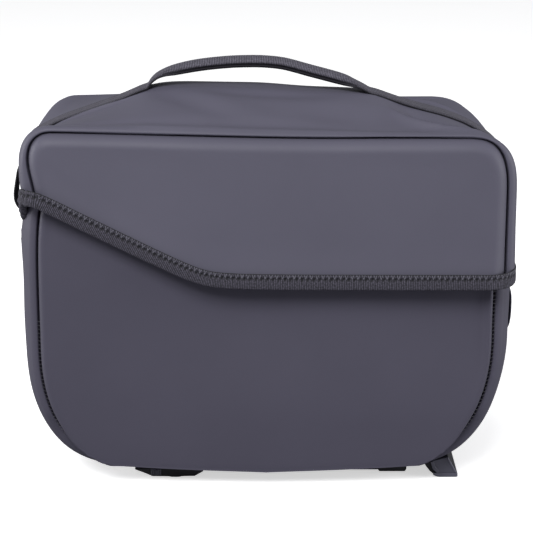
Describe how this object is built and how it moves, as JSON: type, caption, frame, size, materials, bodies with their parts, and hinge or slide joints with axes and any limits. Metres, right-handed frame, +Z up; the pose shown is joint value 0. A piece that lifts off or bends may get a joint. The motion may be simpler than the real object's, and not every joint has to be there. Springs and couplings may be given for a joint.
{
  "type": "bicycle trunk bag",
  "caption": "Soft-sided bicycle trunk bag with a box lid on a slanting hem, a webbing handle, side loops and a rack adapter under its base, for carrying things on a rear rack.",
  "frame": {"origin": "middle of the bag's box on the plane that it stands on", "axes": "+X to the bag's right as its front is seen, +Y to its back, +Z up"},
  "size_m": [0.3824, 0.1896, 0.3128],
  "materials": {
    "body_fabric": "smooth matte coated fabric",
    "lid_fabric": "smooth matte coated fabric",
    "ribbed_tape": "ribbed woven tape, stitched",
    "webbing": "woven webbing",
    "black_webbing": "black woven webbing",
    "dark_plastic": "moulded, fine matte texture",
    "grey_plastic": "moulded, satin"
  },
  "bodies": {
    "root": {"front_panel": "body_fabric", "back_panel": "body_fabric", "body_gusset": "body_fabric", "lid_front": "lid_fabric", "lid_band": "lid_fabric", "hem_binding": "ribbed_tape", "handle_webbing": "webbing", "side_loop_left": "black_webbing", "side_loop_right": "body_fabric", "adapter_plate": "dark_plastic", "latch_housing": "dark_plastic", "strap_keeper": "dark_plastic", "rear_foot": "grey_plastic"}
  },
  "joints": []
}
